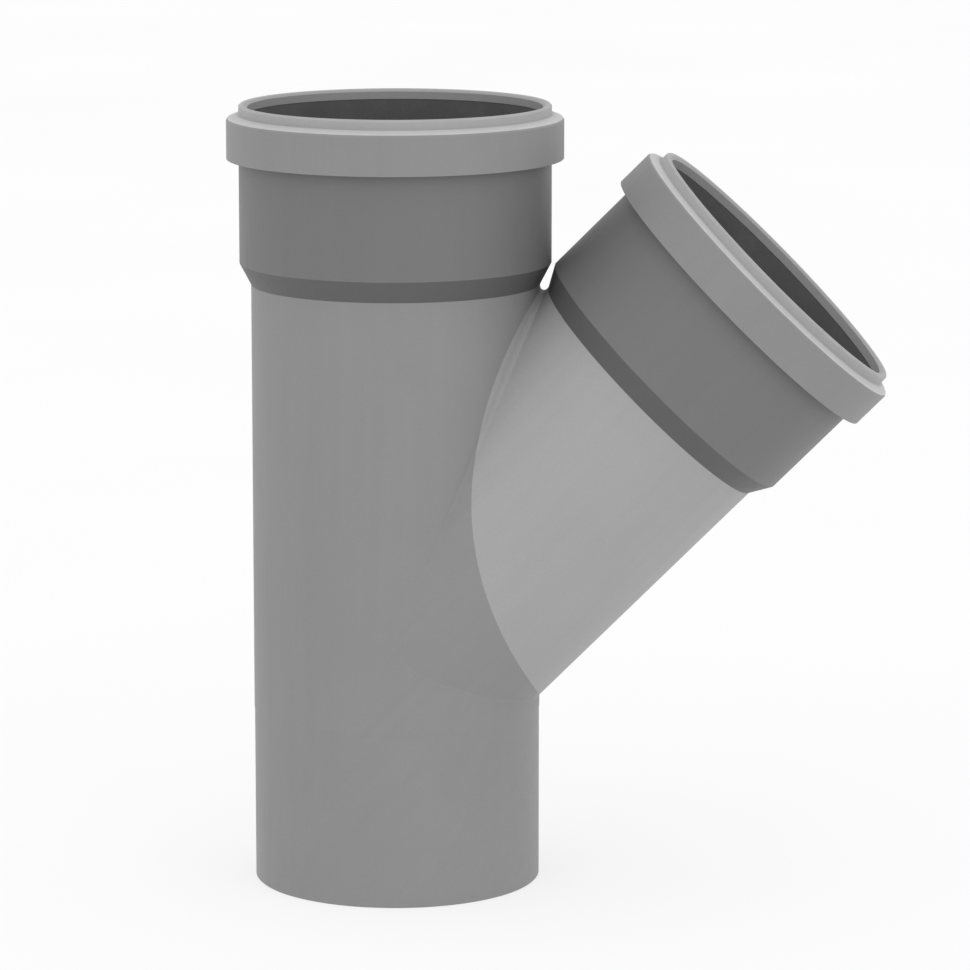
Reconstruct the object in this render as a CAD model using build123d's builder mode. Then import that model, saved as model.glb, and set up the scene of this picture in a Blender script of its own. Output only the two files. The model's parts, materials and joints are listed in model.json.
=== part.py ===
from build123d import *
import os
from math import atan2, cos, radians, sin, tan

# Drain branch fitting: a straight run with a plain spigot at its foot and a push-fit socket at its top,
# and a 45 degree branch that ends in the same socket. Each socket's collar holds a rubber lip seal.
# Millimetres. +Z is up the run and the branch leans towards +X. The origin is the centre of the spigot's end.

os.makedirs("parts", exist_ok=True)

# Pipe
pipe_diameter = 110.0  # outside of the spigot, and of the pipe that each socket takes
wall = 3.4  # wall of the spigot and of the branch's stub
spigot_length = 66.0  # what goes into the next socket down
body_step = 0.15  # the run above the spigot stands out by this much, on the radius
step_height = 1.5  # slope of that step
stub_ease = 0.3  # the stub's radius is this much less than the run's, so that their seam closes in one curve

# Where the arms meet
branch_angle = 45.0  # between the two centre lines
branch_rise = 4.48  # plain run between the step and the lowest point of the branch's seam
neck_length = 0.9  # plain pipe between the seam's fillet, up in the notch, and the taper of each socket

# Socket, from its rim down the axis
lip_height = 3.5  # outside of the mouth lip, above the collar
shoulder_height = 1.8  # sloping top face of the collar
collar_height = 15.1  # straight side of the collar
barrel_length = 39.8  # below the collar
taper_length = 8.3  # from the barrel in to the pipe

# Socket, from its bore outwards
socket_clearance = 0.4  # around the pipe, on the radius
barrel_wall = 4.1
collar_wall = 3.6  # outside the seal's groove
groove_depth = 5.2  # beyond the socket's bore
lip_clearance = 0.8  # the mouth is this much wider than the socket's bore, on the radius

# Inside of the mouth and the groove, as depths below the rim
lead_in_depth = 1.0
lead_in_width = 1.7
lip_inner_depth = 3.9  # where the groove's upper flank starts
groove_top_depth = 7.4
groove_bottom_depth = 15.9
groove_end_depth = 17.0  # where the lower flank meets the socket's bore

# Seal
seal_ease = 0.1  # between the seal and its groove
seal_bite = 0.2  # the lip's edge stands this far into the socket's bore, on the radius
seal_lip_depth = 14.4  # the edge of its lip
seal_heel_width = 2.4
seal_slot_depth = 12.0  # the top of the slot between lip and heel

# Edges
seam_fillet = 1.5  # where the stub leaves the run
mouth_edge = 0.6  # broken edges of the rim and of the collar's top
end_edge = 0.6  # broken outer edge of the spigot's end
cut_over = 1.0  # how far the bores are cut past the ends

# Worked out from the sizes above
pipe_radius = pipe_diameter / 2
run_radius = pipe_radius + body_step
stub_radius = run_radius - stub_ease
bore_radius = pipe_radius - wall
socket_radius = pipe_radius + socket_clearance
barrel_radius = socket_radius + barrel_wall
groove_radius = socket_radius + groove_depth
collar_radius = groove_radius + collar_wall
mouth_radius = socket_radius + lip_clearance
lip_radius = socket_radius - seal_bite

collar_top_depth = lip_height + shoulder_height
collar_low_depth = collar_top_depth + collar_height
barrel_low_depth = collar_low_depth + barrel_length
taper_low_depth = barrel_low_depth + taper_length
# The stop inside runs along the taper, one wall further in.
taper_angle = atan2(barrel_radius - pipe_radius, taper_length)
stop_low_depth = taper_low_depth - wall * tan(taper_angle / 2)
stop_top_depth = stop_low_depth - (socket_radius - bore_radius) / tan(taper_angle)

# The centre lines cross where the stub's underside meets the run at that rise above the step.
lean = radians(branch_angle)
seam_low_height = spigot_length + step_height + branch_rise
crossing_height = seam_low_height + (stub_radius - run_radius * cos(lean)) / sin(lean)
crossing = (0, 0, crossing_height)

# The seam's fillet climbs into the notch between the arms, and a neck parts it from each socket.
# The places are measured from the crossing along each centre line, and each reach is the place of a rim.
fillet_climb = seam_fillet / tan(lean / 2)
run_notch = (stub_radius + run_radius * cos(lean)) / sin(lean)
branch_notch = (run_radius + stub_radius * cos(lean)) / sin(lean)
run_reach = run_notch + fillet_climb + neck_length + taper_low_depth
branch_reach = branch_notch + fillet_climb + neck_length + taper_low_depth

# Each arm has a plane through its axis: local X is the radius and local Y runs out along the arm.
run_plane = Plane(origin=crossing, x_dir=(1, 0, 0), z_dir=(0, -1, 0))
branch_plane = Plane(origin=crossing, x_dir=(cos(lean), 0, -sin(lean)), z_dir=(0, -1, 0))
run_foot = [
    (pipe_radius, -crossing_height),
    (pipe_radius, spigot_length - crossing_height),
    (run_radius, spigot_length + step_height - crossing_height),
]
branch_foot = [(stub_radius, 0)]


def arm_axis(plane):
    """Centre line of the arm that is drawn on this plane."""
    return Axis(plane.origin, plane.y_dir)


def outer_profile(plane, foot, reach):
    """Half section of an arm's outside: the corners of its foot, then taper, barrel, collar and lip."""
    arm_radius = foot[-1][0]
    foot_place = foot[0][1]
    with BuildSketch(plane) as profile:
        with BuildLine():
            Polyline(
                (0, foot_place),
                *foot,
                (arm_radius, reach - taper_low_depth),
                (barrel_radius, reach - barrel_low_depth),
                (barrel_radius, reach - collar_low_depth),
                (collar_radius, reach - collar_low_depth),
                (collar_radius, reach - collar_top_depth),
                (barrel_radius, reach - lip_height),
                (barrel_radius, reach),
                (0, reach),
                close=True,
            )
        make_face()
        collar_corner = profile.vertices().group_by(Axis.X)[-1].sort_by(Axis.Y)[-1]
        rim_corner = profile.vertices().group_by(Axis.Y)[-1].sort_by(Axis.X)[-1]
        chamfer([collar_corner, rim_corner], mouth_edge)
    return profile.sketch


def inner_profile(plane, foot, arm_bore, reach):
    """Half section of an arm's hollow: bore, stop, socket, seal groove and lead-in, on past its rim."""
    with BuildSketch(plane) as profile:
        with BuildLine():
            Polyline(
                (0, foot),
                (arm_bore, foot),
                (arm_bore, reach - stop_low_depth),
                (socket_radius, reach - stop_top_depth),
                (socket_radius, reach - groove_end_depth),
                (groove_radius, reach - groove_bottom_depth),
                (groove_radius, reach - groove_top_depth),
                (mouth_radius, reach - lip_inner_depth),
                (mouth_radius, reach - lead_in_depth),
                (mouth_radius + lead_in_width, reach),
                (mouth_radius + lead_in_width, reach + cut_over),
                (0, reach + cut_over),
                close=True,
            )
        make_face()
    return profile.sketch


def seal_profile(plane, reach):
    """Section of a lip seal: a heel in the groove, and a lip that narrows from the mouth to its edge."""
    back = groove_radius - seal_ease
    heel = back - seal_heel_width
    nose = mouth_radius + seal_ease
    flank_slope = (groove_top_depth - lip_inner_depth) / (groove_radius - mouth_radius)
    nose_depth = lip_inner_depth + seal_ease * (1 + flank_slope)
    with BuildSketch(plane) as profile:
        with BuildLine():
            Polyline(
                (nose, reach - nose_depth),
                (back, reach - nose_depth - (back - nose) * flank_slope),
                (back, reach - groove_bottom_depth + seal_ease),
                (heel, reach - groove_bottom_depth + seal_ease),
                (heel, reach - seal_slot_depth),
                (lip_radius, reach - seal_lip_depth),
                close=True,
            )
        make_face()
    return profile.sketch


# Branch body: one moulding. Its outside is filleted along the seam before the hollows are cut.
with BuildPart() as branch_body:
    revolve(outer_profile(run_plane, run_foot, run_reach), axis=arm_axis(run_plane))
    revolve(outer_profile(branch_plane, branch_foot, branch_reach), axis=arm_axis(branch_plane))
    fillet(branch_body.edges(Select.LAST).filter_by(GeomType.BSPLINE), seam_fillet)
    revolve(
        inner_profile(run_plane, -crossing_height - cut_over, bore_radius, run_reach),
        axis=arm_axis(run_plane),
        mode=Mode.SUBTRACT,
    )
    revolve(
        inner_profile(branch_plane, 0, stub_radius - wall, branch_reach),
        axis=arm_axis(branch_plane),
        mode=Mode.SUBTRACT,
    )
    end_rings = branch_body.edges().filter_by(GeomType.CIRCLE).filter_by_position(Axis.Z, 0, 0)
    chamfer(end_rings.sort_by(SortBy.RADIUS)[-1], end_edge)
branch_body.part.label = "branch_body"

# Seals
with BuildPart() as run_socket_seal:
    revolve(seal_profile(run_plane, run_reach), axis=arm_axis(run_plane))
run_socket_seal.part.label = "run_socket_seal"

with BuildPart() as branch_socket_seal:
    revolve(seal_profile(branch_plane, branch_reach), axis=arm_axis(branch_plane))
branch_socket_seal.part.label = "branch_socket_seal"

for piece in (branch_body, run_socket_seal, branch_socket_seal):
    export_step(piece.part, f"parts/{piece.part.label}.step")
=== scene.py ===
"""Looks of the drain branch fitting: moulded grey plastic, black rubber seals and a white studio.

Metres, in the same frame as the CAD: +Z is up the run, and the branch leans towards +X.
"""
import json
from math import cos, pi, radians, sin

import bmesh
import bpy
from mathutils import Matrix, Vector


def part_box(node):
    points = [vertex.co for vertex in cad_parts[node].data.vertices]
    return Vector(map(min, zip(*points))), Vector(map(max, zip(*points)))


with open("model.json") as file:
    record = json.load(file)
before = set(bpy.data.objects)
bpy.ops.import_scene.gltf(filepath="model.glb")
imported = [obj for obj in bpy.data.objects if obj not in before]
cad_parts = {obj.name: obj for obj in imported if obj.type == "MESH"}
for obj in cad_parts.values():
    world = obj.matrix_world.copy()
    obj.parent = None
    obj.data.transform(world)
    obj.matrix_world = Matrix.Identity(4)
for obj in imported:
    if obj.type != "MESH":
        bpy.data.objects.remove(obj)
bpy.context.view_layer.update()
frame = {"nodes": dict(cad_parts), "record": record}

MM = 0.001

# Camera, from the picture: in front of the fitting, a little above it and a little to the branch's side
LENS = 186.07  # on Blender's own 36 mm sensor
VIEW_TURN = radians(3.56)
VIEW_PITCH = radians(10.2545)
VIEW_DISTANCE = 1896.66 * MM
VIEW_SIDE = 34.08 * MM
VIEW_HEIGHT = 401.93 * MM  # above the crossing of the centre lines
VIEW_REACH = 60.0  # past the floor's corners

# Socket, as depths below the rim
RIM_LOW = 0.6 * MM  # the rim's broken edge
LIP_LOW = 3.5 * MM
MOUTH_WALL_LOW = 3.9 * MM  # the lip's inner wall, above the seal
SHOULDER_LOW = 5.1 * MM  # where the broken edge of the collar starts
COLLAR_LOW = 20.4 * MM
BARREL_LOW = 60.2 * MM
TAPER_LOW = 68.5 * MM

# Middle of the wall, which parts the outside from the inside
PIPE_MID_RADIUS = 53.3 * MM
SOCKET_MID_RADIUS = 57.4 * MM

# The stub is painted a lighter grey than the run, as painted light on its upward lean. That grey
# starts on an arc, which runs from the notch between the arms down to the seam's lowest point. Seen
# along y, it is one circle above and another below, and the one below climbs to both sides of the
# plane y = 0. Heights are above the crossing.
ARCS_MEET = 82.0 * MM  # where the arc comes down from the run's side of the seam to the stub's
HIGH_ARC_X = 173.6 * MM
HIGH_ARC_HEIGHT = 57.8 * MM
HIGH_ARC_RADIUS = 141.7 * MM
LOW_ARC_X = 154.7 * MM
LOW_ARC_HEIGHT = 49.0 * MM
LOW_ARC_RADIUS = 122.5 * MM
LOW_ARC_CLIMB = 0.28  # for each length out from that plane

# Greys of the moulding and the rubber, as the share of light that they give back. The run and
# collars have the moulding's own grey; the other zones are lighter and darker copies of it, as
# painted light and shade.
RUN_GREY = 0.231
# painted light: the stub's lighter copy of the run's grey
STUB_PAINTED_LIGHT_GREY = 0.326
# painted shade: the barrel and the downward taper are darker copies of the run's grey
BARREL_SHADE_GREY = 0.155
TAPER_SHADE_GREY = 0.1
COLLAR_GREY = 0.229
SHOULDER_FOOT_HIGHLIGHT_GREY = 0.45  # painted highlight on the upward shoulder, where it leaves the lip
SHOULDER_EDGE_HIGHLIGHT_GREY = 0.47  # painted highlight, at its brightest where it meets the collar's edge
# painted light: the lip and the lip's inner wall are lighter copies of the run's grey
LIP_PAINTED_LIGHT_GREY = 0.34
MOUTH_WALL_PAINTED_LIGHT_GREY = 0.29
# painted shade: the socket's dark inside
SOCKET_INSIDE_SHADE_GREY = 0.135
RUBBER_GREY = 0.077
RUBBER_DUSTY_GREY = 1.25 * RUBBER_GREY

# Noise that counts as least and as most
COARSE_NOISE = (0.3, 0.7)
FINE_NOISE = (0.25, 0.75)

# Marks on the moulding: the size of their lumps, and the share by which they change its grey
MOTTLE_SIZE = 38 * MM
MOTTLE_CHANGE = 0.018
STREAK_SIZE = 5 * MM
STREAK_CHANGE = 0.015
STREAK_STRETCH = 0.94  # the share that comes off lengths along the arm before the noise is read
SPECKLE_SIZE = 0.9 * MM
SPECKLE_CHANGE = 0.02

# Worn edges, which are paler, in patches that start at one noise and are full at another
WEAR_SIZE = 9 * MM
WEAR_NOISE = (0.42, 0.68)
WEAR_CHANGE = 0.1
WEAR_HALF_WIDTH = 0.7 * MM
FOOT_WEAR_HALF_WIDTH = 1.2 * MM

# Parting line of the mould, in the plane y = 0
PARTING_HALF_WIDTH = 0.35 * MM
PARTING_CHANGE = 0.05
PARTING_HEIGHT = 2.0  # times the relief's depth

# Painted shade along the seam's crease, darker towards the notch, which damps the light line of its
# fillet
CREASE_SHADE_HALF_WIDTH = 1.3 * MM
CREASE_SHADE_FADE = (50.0 * MM, 100.0 * MM)  # heights above the crossing where it starts and is full
CREASE_SHADE_CHANGE = 0.17

# Gloss and relief of the moulding
PLASTIC_REFRACTION = 1.49
PLASTIC_SPECULAR = 0.3
PLASTIC_ROUGHNESS = (0.46, 0.54)
SCUFF_SIZE = 1.6 * MM
SCUFF_NOISE = (0.52, 0.75)
SCUFF_ROUGHNESS = 0.1
GRAIN_SIZE = 0.7 * MM
GRAIN_HEIGHT = 0.25  # times the relief's depth
PEEL_SIZE = 3.2 * MM
PEEL_HEIGHT = 0.5  # times the relief's depth
RELIEF_DEPTH = 0.03 * MM  # of the rubber too

# Rubber
RUBBER_SPECULAR = 0.25
RUBBER_ROUGHNESS = (0.6, 0.72)  # clean and dusty
DUST_SIZE = 14 * MM
DUST_NOISE = (0.45, 0.75)
RUBBER_SPECKLE_SIZE = 0.8 * MM
RUBBER_SPECKLE_CHANGE = 0.08
RUBBER_GRAIN_SIZE = 0.5 * MM

# Floor
FLOOR_HALF = 40.0
FLOOR_DROP = 0.05 * MM  # below the foot, so that the two faces don't share a plane
FLOOR_GREYS = (0.26, 0.27)
FLOOR_MOTTLE_SIZE = 0.4
FLOOR_ROUGHNESS = 0.9
FLOOR_GLOW = 0.7

# Light, with the lamps' power in watts
LAMP_WIDTH = 1.6
LEFT_LAMP_PLACE = (-1.0, -2.1, 1.7)
LEFT_LAMP_POWER = 4.5
RIGHT_LAMP_PLACE = (1.6, -1.8, 0.9)
RIGHT_LAMP_POWER = 6.5
HORIZON_STRENGTH = 0.97
OVERHEAD_STRENGTH = 1.1

# Places on the fitting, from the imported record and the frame
mounts = {mount["name"]: mount for mount in frame["record"]["mounts"]}
branch_mount = mounts["branch_socket"]
run_axis = Vector((0, 0, 1))
branch_axis = Vector(branch_mount["axis"]).normalized()
socket_place = branch_mount["pos_m"][0] / branch_axis.x
crossing = Vector((0, 0, branch_mount["pos_m"][2] - socket_place * branch_axis.z))
rim_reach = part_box("branch_body")[1].z - crossing.z  # the run's, 0.12 mm less than the branch's
half_lean = run_axis.angle(branch_axis) / 2
to_branch = Vector((cos(half_lean), 0, -sin(half_lean)))  # square to the plane that parts the arms


class Graph:
    """Builds the nodes of one material or world. Most calls hand back the new node's output."""

    def __init__(self, owner):
        owner.use_nodes = True
        self.tree = owner.node_tree
        self.tree.nodes.clear()

    def feed(self, socket, value):
        """Links an output to the socket, or sets a constant on it."""
        if isinstance(value, bpy.types.NodeSocket):
            self.tree.links.new(value, socket)
        else:
            socket.default_value = value

    def add(self, kind, **inputs):
        """The new node itself, with its inputs fed by name."""
        node = self.tree.nodes.new(kind)
        for name, value in inputs.items():
            self.feed(node.inputs[name.replace("_", " ")], value)
        return node

    def math(self, operation, *values):
        node = self.tree.nodes.new("ShaderNodeMath")
        node.operation = operation
        for socket, value in zip(node.inputs, values):
            self.feed(socket, value)
        return node.outputs[0]

    def total(self, first, *others):
        for other in others:
            first = self.math("ADD", first, other)
        return first

    def product(self, first, *others):
        for other in others:
            first = self.math("MULTIPLY", first, other)
        return first

    def flipped(self, share):
        """0 where the share is 1, and 1 where it is 0."""
        return self.math("SUBTRACT", 1.0, share)

    def vector(self, operation, *values, output="Vector"):
        node = self.tree.nodes.new("ShaderNodeVectorMath")
        node.operation = operation
        for socket, value in zip(node.inputs, values):
            self.feed(socket, value)
        return node.outputs[output]

    def dot(self, first, second):
        return self.vector("DOT_PRODUCT", first, second, output="Value")

    def scaled(self, vector, scale):
        node = self.tree.nodes.new("ShaderNodeVectorMath")
        node.operation = "SCALE"
        self.feed(node.inputs[0], vector)
        self.feed(node.inputs["Scale"], scale)
        return node.outputs["Vector"]

    def mix(self, factor, first, second):
        """A number between first and second."""
        node = self.tree.nodes.new("ShaderNodeMix")
        self.feed(node.inputs[0], factor)
        self.feed(node.inputs[2], first)
        self.feed(node.inputs[3], second)
        return node.outputs[0]

    def span(self, value, low, high, to_low=0.0, to_high=1.0):
        """Maps low to to_low and high to to_high, in a straight line, and stays within them."""
        node = self.add("ShaderNodeMapRange", Value=value)
        node.inputs["From Min"].default_value = low
        node.inputs["From Max"].default_value = high
        node.inputs["To Min"].default_value = to_low
        node.inputs["To Max"].default_value = to_high
        return node.outputs[0]

    def noise(self, place, size, detail):
        """Noise from 0 to 1 with lumps of about this size."""
        node = self.add("ShaderNodeTexNoise", Vector=place, Scale=1 / size, Detail=detail)
        return node.outputs[0]

    def steps(self, value, stops):
        """Flat tones: each stop is where its tone starts, and the tone."""
        length = 2 * stops[-1][0]  # the last tone starts halfway along the ramp
        node = self.add("ShaderNodeValToRGB", Fac=self.math("DIVIDE", value, length))
        ramp = node.color_ramp
        ramp.interpolation = "CONSTANT"
        while len(ramp.elements) < len(stops):
            ramp.elements.new(1.0)
        for element, (start, tone) in zip(ramp.elements, stops):
            element.position = start / length
            element.color = (tone, tone, tone, 1)
        return node.outputs[0]

    def line(self, distance, half_width):
        """1 where the distance is nought, falling to 0 at half_width."""
        return self.span(self.math("ABSOLUTE", distance), 0.0, half_width, 1.0, 0.0)


class Places:
    """Where a point is on the fitting.

    Its arm is the one on its side of the plane that parts them, and its depth is below that arm's
    rim. The places in_pipe, in_socket, below_socket and outside are 1 for yes and 0 for no.
    """

    def __init__(self, graph):
        self.point = graph.add("ShaderNodeTexCoord").outputs["Object"]
        self.x, self.y, self.z = graph.add("ShaderNodeSeparateXYZ", Vector=self.point).outputs
        self.height = graph.math("SUBTRACT", self.z, crossing.z)
        offset = graph.vector("SUBTRACT", self.point, crossing)
        square = graph.dot(offset, offset)
        along_run = graph.dot(offset, run_axis)
        along_branch = graph.dot(offset, branch_axis)
        self.from_seam = graph.dot(offset, to_branch)
        on_branch = graph.math("GREATER_THAN", self.from_seam, 0.0)
        along = graph.mix(on_branch, along_run, along_branch)
        self.depth = graph.math("SUBTRACT", rim_reach, along)

        # A point is inside the pipes where it is nearer than mid wall to the run's centre line, or to
        # the branch's above its foot. Below that foot a metre is added, so that it doesn't count.
        run_radius = self.from_axis(graph, square, along_run)
        branch_radius = self.from_axis(graph, square, along_branch)
        below_foot = graph.math("LESS_THAN", along_branch, 0.0)
        nearest = graph.math("MINIMUM", run_radius, graph.total(branch_radius, below_foot))
        self.in_pipe = graph.math("LESS_THAN", nearest, PIPE_MID_RADIUS)
        radius = self.from_axis(graph, square, along)
        mid_wall = graph.span(self.depth, BARREL_LOW, TAPER_LOW, SOCKET_MID_RADIUS, PIPE_MID_RADIUS)
        self.in_socket = graph.math("LESS_THAN", radius, mid_wall)
        self.below_socket = graph.math("GREATER_THAN", self.depth, TAPER_LOW)
        self.outside = graph.flipped(graph.mix(self.below_socket, self.in_socket, self.in_pipe))

        # The same point with lengths along its arm made short, so that noise is drawn out along it
        branch_part = graph.scaled(branch_axis, graph.product(along_branch, on_branch))
        run_part = graph.scaled(run_axis, graph.product(along_run, graph.flipped(on_branch)))
        along_arm = graph.vector("ADD", branch_part, run_part)
        self.drawn_out = graph.vector("SUBTRACT", offset, graph.scaled(along_arm, STREAK_STRETCH))

    @staticmethod
    def from_axis(graph, square, along):
        """Distance from a centre line.

        It comes from the square of the distance to the crossing, and the place along the line.
        """
        return graph.math("SQRT", graph.math("SUBTRACT", square, graph.product(along, along)))


def in_circle(graph, x, height, centre_x, centre_height, radius):
    """1 in a circle that is seen along y, and 0 elsewhere."""
    flat = graph.add("ShaderNodeCombineXYZ", X=x, Z=height).outputs[0]
    distance = graph.vector("DISTANCE", flat, (centre_x, 0, centre_height), output="Value")
    return graph.math("LESS_THAN", distance, radius)


def stub_painted_light(graph, places):
    """1 on the part of the outside round the stub that is painted lighter, as painted light, and 0
    elsewhere.
    """
    climb = graph.product(graph.math("ABSOLUTE", places.y), LOW_ARC_CLIMB)
    level = graph.math("SUBTRACT", places.height, climb)
    in_low = in_circle(graph, places.x, level, LOW_ARC_X, LOW_ARC_HEIGHT, LOW_ARC_RADIUS)
    in_high = in_circle(graph, places.x, places.height, HIGH_ARC_X, HIGH_ARC_HEIGHT, HIGH_ARC_RADIUS)
    is_high = graph.math("GREATER_THAN", places.height, ARCS_MEET)
    return graph.product(graph.mix(is_high, in_low, in_high), graph.flipped(places.in_pipe))


def zone_greys_and_painted_light(graph, places):
    """Flat greys, one for each zone of the fitting: the moulding's own grey on the run and collars, and
    painted light, highlight and shade elsewhere.
    """
    # The stub's lighter grey is painted light.
    pipe = graph.mix(stub_painted_light(graph, places), RUN_GREY, STUB_PAINTED_LIGHT_GREY)
    # On the socket's outside: painted light on the lip, a painted highlight on the shoulder, and
    # painted shade on the barrel and taper.
    outer_stops = [
        (0.0, LIP_PAINTED_LIGHT_GREY),
        (LIP_LOW, SHOULDER_FOOT_HIGHLIGHT_GREY),
        (SHOULDER_LOW, COLLAR_GREY),
        (COLLAR_LOW, BARREL_SHADE_GREY),
        (BARREL_LOW, TAPER_SHADE_GREY),
    ]
    # Inside the socket: the lip's inner wall painted lighter, and painted shade below it.
    inner_stops = [(0.0, MOUTH_WALL_PAINTED_LIGHT_GREY), (MOUTH_WALL_LOW, SOCKET_INSIDE_SHADE_GREY)]
    # The shoulder's painted highlight brightens from the lip's foot to the collar's edge.
    within_shoulder_highlight = graph.math("LESS_THAN", places.depth, SHOULDER_LOW)
    shoulder_highlight_ramp = graph.product(graph.span(places.depth, LIP_LOW, SHOULDER_LOW), within_shoulder_highlight)
    outer = graph.mix(shoulder_highlight_ramp, graph.steps(places.depth, outer_stops), SHOULDER_EDGE_HIGHLIGHT_GREY)
    inner = graph.steps(places.depth, inner_stops)
    socket = graph.mix(places.in_socket, outer, inner)
    return graph.mix(places.below_socket, socket, pipe)


def wear(graph, places):
    """1 on a worn outer edge, broken up by noise, and 0 elsewhere."""
    edges = []
    for edge in (RIM_LOW, SHOULDER_LOW, COLLAR_LOW, BARREL_LOW):
        edges.append(graph.line(graph.math("SUBTRACT", places.depth, edge), WEAR_HALF_WIDTH))
    edges.append(graph.line(places.z, FOOT_WEAR_HALF_WIDTH))
    patches = graph.span(graph.noise(places.point, WEAR_SIZE, detail=4.0), *WEAR_NOISE)
    return graph.product(graph.total(*edges), patches, places.outside)


def crease(graph, places):
    """1 where shade is painted in the seam's crease up by the notch, falling to 0 beside it and further
    down.
    """
    near = graph.line(places.from_seam, CREASE_SHADE_HALF_WIDTH)
    return graph.product(near, graph.span(places.height, *CREASE_SHADE_FADE))


def add_surface(graph, tone, rough, height):
    """Adds a surface's relief, shader and output, and hands back the shader."""
    relief = graph.add("ShaderNodeBump", Height=height, Strength=1.0, Distance=RELIEF_DEPTH)
    normal = relief.outputs[0]
    shader = graph.add("ShaderNodeBsdfPrincipled", Base_Color=tone, Roughness=rough, Normal=normal)
    graph.add("ShaderNodeOutputMaterial", Surface=shader.outputs[0])
    return shader


def plastic():
    """Satin moulded plastic: fine grain, drawn-out flow marks, worn edges and a parting line, with
    painted light and shade in its zone greys and painted shade in the seam's crease.
    """
    material = bpy.data.materials.new("moulded_plastic")
    graph = Graph(material)
    places = Places(graph)
    parting = graph.product(graph.line(places.y, PARTING_HALF_WIDTH), places.outside)
    mottle_noise = graph.noise(places.point, MOTTLE_SIZE, detail=3.0)
    mottle = graph.span(mottle_noise, *COARSE_NOISE, -MOTTLE_CHANGE, MOTTLE_CHANGE)
    streak_noise = graph.noise(places.drawn_out, STREAK_SIZE, detail=3.0)
    streaks = graph.span(streak_noise, *COARSE_NOISE, -STREAK_CHANGE, STREAK_CHANGE)
    speckle_noise = graph.noise(places.point, SPECKLE_SIZE, detail=1.0)
    speckle = graph.span(speckle_noise, *FINE_NOISE, -SPECKLE_CHANGE, SPECKLE_CHANGE)
    worn = graph.product(wear(graph, places), WEAR_CHANGE)
    parted = graph.product(parting, PARTING_CHANGE)
    # Painted shade in the seam's crease.
    painted_crease_shade = graph.product(crease(graph, places), -CREASE_SHADE_CHANGE)
    gain = graph.total(1.0, mottle, streaks, speckle, worn, parted, painted_crease_shade)
    tone = graph.product(zone_greys_and_painted_light(graph, places), gain)

    satin = graph.span(mottle, -MOTTLE_CHANGE, MOTTLE_CHANGE, *PLASTIC_ROUGHNESS)
    scuffs = graph.span(graph.noise(places.drawn_out, SCUFF_SIZE, detail=4.0), *SCUFF_NOISE)
    rough = graph.total(satin, graph.product(scuffs, SCUFF_ROUGHNESS))
    grain = graph.product(graph.noise(places.point, GRAIN_SIZE, detail=2.0), GRAIN_HEIGHT)
    peel = graph.product(graph.noise(places.point, PEEL_SIZE, detail=1.0), PEEL_HEIGHT)
    height = graph.total(grain, peel, graph.product(parting, PARTING_HEIGHT))
    shader = add_surface(graph, tone, rough, height)
    shader.inputs["IOR"].default_value = PLASTIC_REFRACTION
    shader.inputs["Specular IOR Level"].default_value = PLASTIC_SPECULAR
    return material


def rubber():
    """Matt black rubber with a fine grain and a little dust."""
    material = bpy.data.materials.new("seal_rubber")
    graph = Graph(material)
    point = graph.add("ShaderNodeTexCoord").outputs["Object"]
    dust = graph.span(graph.noise(point, DUST_SIZE, detail=5.0), *DUST_NOISE)
    speckle_noise = graph.noise(point, RUBBER_SPECKLE_SIZE, detail=2.0)
    speckle = graph.span(speckle_noise, *FINE_NOISE, -RUBBER_SPECKLE_CHANGE, RUBBER_SPECKLE_CHANGE)
    tone = graph.product(graph.mix(dust, RUBBER_GREY, RUBBER_DUSTY_GREY), graph.total(1.0, speckle))
    rough = graph.mix(dust, *RUBBER_ROUGHNESS)
    shader = add_surface(graph, tone, rough, graph.noise(point, RUBBER_GRAIN_SIZE, detail=3.0))
    shader.inputs["Specular IOR Level"].default_value = RUBBER_SPECULAR
    return material


def dress(node, material):
    """Gives a piece of the frame its one material."""
    slots = frame["nodes"][node].data.materials
    slots.clear()
    slots.append(material)


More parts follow.
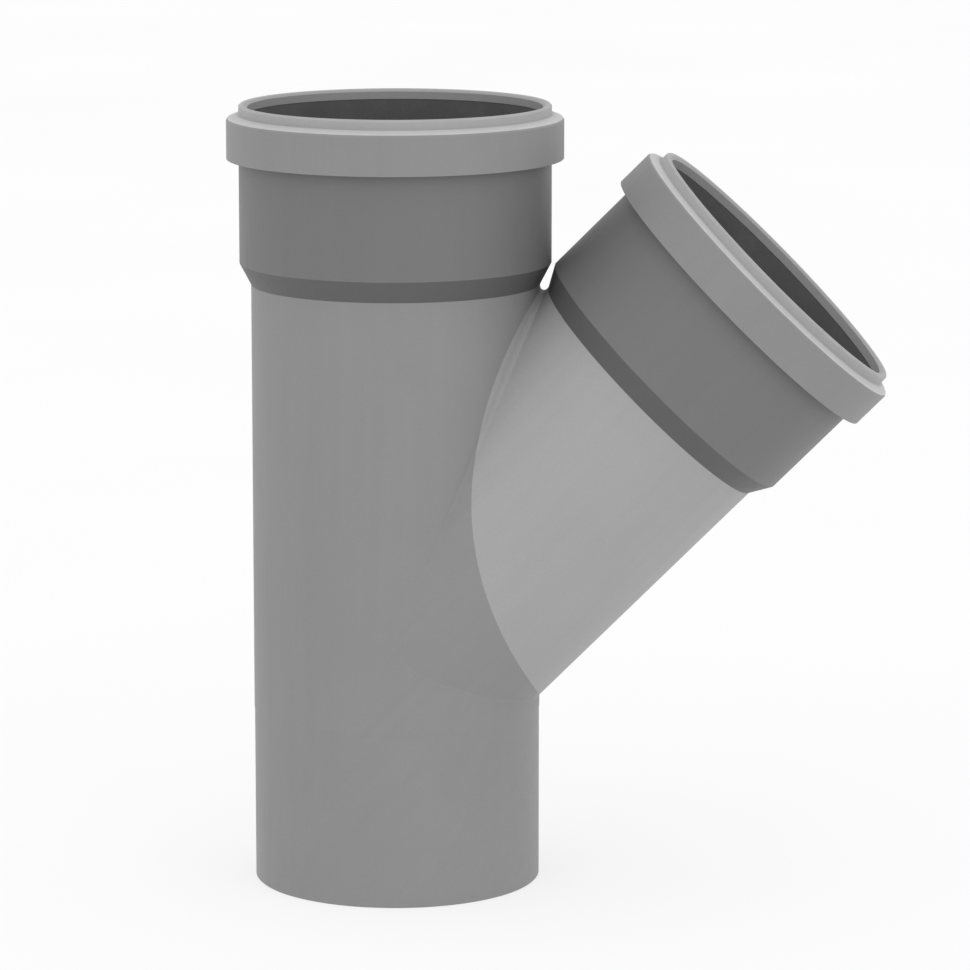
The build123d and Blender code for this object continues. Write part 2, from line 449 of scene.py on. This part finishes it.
def floor():
    """A pale sheet that is lit through, as a light table is, so that only a faint shadow lies on it."""
    mesh = bpy.data.meshes.new("floor")
    shape = bmesh.new()
    bmesh.ops.create_grid(shape, x_segments=2, y_segments=2, size=FLOOR_HALF)
    shape.to_mesh(mesh)
    shape.free()
    sheet = bpy.data.objects.new("floor", mesh)
    sheet.location.z = -FLOOR_DROP
    bpy.context.scene.collection.objects.link(sheet)
    material = bpy.data.materials.new("floor_white")
    graph = Graph(material)
    point = graph.add("ShaderNodeTexCoord").outputs["Object"]
    mottle_noise = graph.noise(point, FLOOR_MOTTLE_SIZE, detail=3.0)
    pale = graph.span(mottle_noise, *COARSE_NOISE, *FLOOR_GREYS)
    shader = graph.add("ShaderNodeBsdfPrincipled", Base_Color=pale, Roughness=FLOOR_ROUGHNESS)
    shader.inputs["Specular IOR Level"].default_value = 0.0
    shader.inputs["Emission Color"].default_value = (1, 1, 1, 1)
    shader.inputs["Emission Strength"].default_value = FLOOR_GLOW
    graph.add("ShaderNodeOutputMaterial", Surface=shader.outputs[0])
    mesh.materials.append(material)


def lamp(name, place, power):
    """A large round soft lamp, aimed at the crossing."""
    data = bpy.data.lights.new(name, "AREA")
    data.shape = "DISK"
    data.size = LAMP_WIDTH
    data.energy = power
    soft = bpy.data.objects.new(name, data)
    soft.location = place
    soft.rotation_euler = (crossing - soft.location).to_track_quat("-Z", "Y").to_euler()
    bpy.context.scene.collection.objects.link(soft)


def light():
    """An even white surround, a little brighter overhead, and a soft lamp at the front on each side."""
    world = bpy.data.worlds.new("studio")
    bpy.context.scene.world = world
    graph = Graph(world)
    direction = graph.add("ShaderNodeTexCoord").outputs["Generated"]
    up = graph.add("ShaderNodeSeparateXYZ", Vector=direction).outputs["Z"]
    strength = graph.span(up, 0.0, 1.0, HORIZON_STRENGTH, OVERHEAD_STRENGTH)
    background = graph.add("ShaderNodeBackground", Color=(1, 1, 1, 1), Strength=strength)
    graph.add("ShaderNodeOutputWorld", Surface=background.outputs[0])
    lamp("left_lamp", LEFT_LAMP_PLACE, LEFT_LAMP_POWER)
    lamp("right_lamp", RIGHT_LAMP_PLACE, RIGHT_LAMP_POWER)


def camera():
    """The picture's viewpoint."""
    data = bpy.data.cameras.new("view")
    data.lens = LENS
    data.clip_end = VIEW_REACH
    view = bpy.data.objects.new("view", data)
    right = Vector((cos(VIEW_TURN), sin(VIEW_TURN), 0))
    away = Vector((-sin(VIEW_TURN), cos(VIEW_TURN), 0))
    view.location = crossing + right * VIEW_SIDE - away * VIEW_DISTANCE + run_axis * VIEW_HEIGHT
    view.rotation_euler = (pi / 2 - VIEW_PITCH, 0, VIEW_TURN)
    bpy.context.scene.collection.objects.link(view)
    bpy.context.scene.camera = view


camera()
dress("branch_body", plastic())
seal_material = rubber()
for seal in ("run_socket_seal", "branch_socket_seal"):
    dress(seal, seal_material)
floor()
light()
bpy.context.scene.view_settings.view_transform = "Standard"
